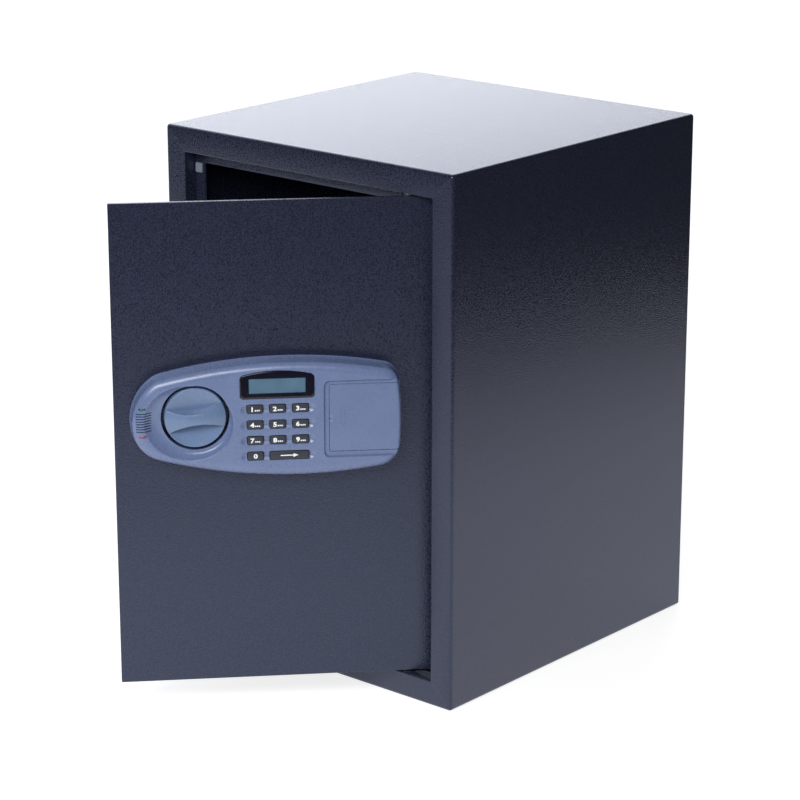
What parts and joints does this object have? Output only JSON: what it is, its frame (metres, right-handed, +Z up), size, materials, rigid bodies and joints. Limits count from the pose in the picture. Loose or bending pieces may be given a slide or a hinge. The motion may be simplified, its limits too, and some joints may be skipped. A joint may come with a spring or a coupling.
{
  "type": "in-room safe",
  "caption": "Free-standing steel room safe with a flush plate door ajar on concealed pivots, a keypad lock fascia, a turning knob and sliding bolts.",
  "frame": {"origin": "centre of the cabinet's footprint, on the floor", "axes": "+Z up, -Y out of the front (the door's side), +X towards the hinge side. The door stands ajar at rest"},
  "size_m": [0.35, 0.5501, 0.5],
  "materials": {
    "powder_coat": "black-blue powder coat with a pebbled grain",
    "fascia_plastic": "satin moulded ABS, blue-grey",
    "knob_plastic": "satin moulded ABS, slate blue",
    "key_plastic": "matte, charcoal",
    "bezel_plastic": "high gloss black",
    "display": "grey-green display behind a clear window",
    "led_green": "clear tinted lens",
    "led_red": "clear tinted lens",
    "steel": "zinc plated",
    "brass": "machined",
    "rubber": "matte",
    "pale_pad": "pale grey soft pad",
    "felt": "needle felt",
    "black_plastic": "moulded nylon",
    "circuit_green": "solder mask",
    "battery_wrap": "printed film sleeve, plain",
    "copper": "enamelled copper winding",
    "red_plastic": "moulded red plastic and wire insulation"
  },
  "bodies": {
    "cabinet": {"cabinet_shell": "powder_coat", "back_panel": "powder_coat", "shelf": "powder_coat", "shelf_rail_left": "powder_coat", "shelf_rail_right": "powder_coat", "floor_mat": "felt", "bump_stop": "pale_pad", "hinge_washer_lower": "steel", "hinge_washer_upper": "steel"},
    "door": {"door_panel": "powder_coat", "hinge_bracket_upper": "steel", "hinge_bracket_lower": "steel", "hinge_pin_upper": "steel", "hinge_pin_lower": "steel", "fascia": "fascia_plastic", "lcd_window": "bezel_plastic", "lcd_panel": "display", "led_green": "led_green", "led_red": "led_red", "keypad_mat": "rubber", "circuit_board": "circuit_green", "buzzer": "black_plastic", "battery_tray": "black_plastic", "battery_1": "battery_wrap", "battery_2": "battery_wrap", "battery_3": "battery_wrap", "battery_4": "battery_wrap", "lock_barrel": "steel", "inner_cover": "powder_coat", "cover_screw_1": "steel", "cover_screw_2": "steel", "cover_screw_3": "steel", "cover_screw_4": "steel", "solenoid_frame": "steel", "solenoid_coil": "copper", "plunger_spring": "steel", "knob_bushing": "black_plastic", "bolt_guide_upper": "black_plastic", "bolt_guide_lower": "black_plastic", "solenoid_lead": "red_plastic"},
    "knob_shaft": {"knob": "knob_plastic", "crank_shaft": "steel"},
    "boltwork": {"bolt_carriage": "steel", "bolt_upper": "steel", "bolt_lower": "steel"},
    "plunger": {"solenoid_plunger": "steel"},
    "lock_plug": {"lock_plug": "brass"},
    "battery_cover": {"battery_cover": "fascia_plastic"},
    "reset_button": {"reset_button": "red_plastic"},
    "key_0": {"key_0": "key_plastic"},
    "key_1": {"key_1": "key_plastic"},
    "key_2": {"key_2": "key_plastic"},
    "key_3": {"key_3": "key_plastic"},
    "key_4": {"key_4": "key_plastic"},
    "key_5": {"key_5": "key_plastic"},
    "key_6": {"key_6": "key_plastic"},
    "key_7": {"key_7": "key_plastic"},
    "key_8": {"key_8": "key_plastic"},
    "key_9": {"key_9": "key_plastic"},
    "key_start": {"key_start": "key_plastic"}
  },
  "joints": [
    {"name": "door_hinge", "type": "hinge", "parent": "cabinet", "child": "door", "pos_m": [0.1155, -0.1685, 0.25], "axis": [0, 0, 1], "range_deg": [-47.2, 48.8]},
    {"name": "knob_turn", "type": "hinge", "parent": "door", "child": "knob_shaft", "pos_m": [-0.00753, -0.31829, 0.282], "axis": [0.7337, -0.6794, 0], "range_deg": [0, 60]},
    {"name": "bolt_slide", "type": "slide", "parent": "door", "child": "boltwork", "axis": [-0.6794, -0.7337, 0], "range_m": [0, 0.016]},
    {"name": "plunger_slide", "type": "slide", "parent": "door", "child": "plunger", "axis": [0, 0, -1], "range_m": [0, 0.004], "deforming": ["plunger_spring"]},
    {"name": "lock_plug_turn", "type": "hinge", "parent": "door", "child": "lock_plug", "pos_m": [0.09438, -0.20823, 0.278], "axis": [0.7337, -0.6794, 0], "range_deg": [0, 90]},
    {"name": "battery_cover_slide", "type": "slide", "parent": "door", "child": "battery_cover", "axis": [0.6794, 0.7337, 0], "range_m": [0, 0.025]},
    {"name": "reset_button_press", "type": "slide", "parent": "door", "child": "reset_button", "axis": [0.7337, -0.6794, 0], "range_m": [0, 0.0015], "stiffness_N_per_m": 300},
    {"name": "key_0_press", "type": "slide", "parent": "door", "child": "key_0", "axis": [-0.7337, 0.6794, 0], "range_m": [0, 0.001], "stiffness_N_per_m": 300},
    {"name": "key_1_press", "type": "slide", "parent": "door", "child": "key_1", "axis": [-0.7337, 0.6794, 0], "range_m": [0, 0.001], "stiffness_N_per_m": 300},
    {"name": "key_2_press", "type": "slide", "parent": "door", "child": "key_2", "axis": [-0.7337, 0.6794, 0], "range_m": [0, 0.001], "stiffness_N_per_m": 300},
    {"name": "key_3_press", "type": "slide", "parent": "door", "child": "key_3", "axis": [-0.7337, 0.6794, 0], "range_m": [0, 0.001], "stiffness_N_per_m": 300},
    {"name": "key_4_press", "type": "slide", "parent": "door", "child": "key_4", "axis": [-0.7337, 0.6794, 0], "range_m": [0, 0.001], "stiffness_N_per_m": 300},
    {"name": "key_5_press", "type": "slide", "parent": "door", "child": "key_5", "axis": [-0.7337, 0.6794, 0], "range_m": [0, 0.001], "stiffness_N_per_m": 300},
    {"name": "key_6_press", "type": "slide", "parent": "door", "child": "key_6", "axis": [-0.7337, 0.6794, 0], "range_m": [0, 0.001], "stiffness_N_per_m": 300},
    {"name": "key_7_press", "type": "slide", "parent": "door", "child": "key_7", "axis": [-0.7337, 0.6794, 0], "range_m": [0, 0.001], "stiffness_N_per_m": 300},
    {"name": "key_8_press", "type": "slide", "parent": "door", "child": "key_8", "axis": [-0.7337, 0.6794, 0], "range_m": [0, 0.001], "stiffness_N_per_m": 300},
    {"name": "key_9_press", "type": "slide", "parent": "door", "child": "key_9", "axis": [-0.7337, 0.6794, 0], "range_m": [0, 0.001], "stiffness_N_per_m": 300},
    {"name": "key_start_press", "type": "slide", "parent": "door", "child": "key_start", "axis": [-0.7337, 0.6794, 0], "range_m": [0, 0.001], "stiffness_N_per_m": 300}
  ],
  "couplings": [
    {"joint": "bolt_slide", "follows": "knob_turn", "m_per_rad": 0.015278},
    {"joint": "plunger_slide", "follows": "knob_turn", "m_per_rad": 0.003819}
  ]
}
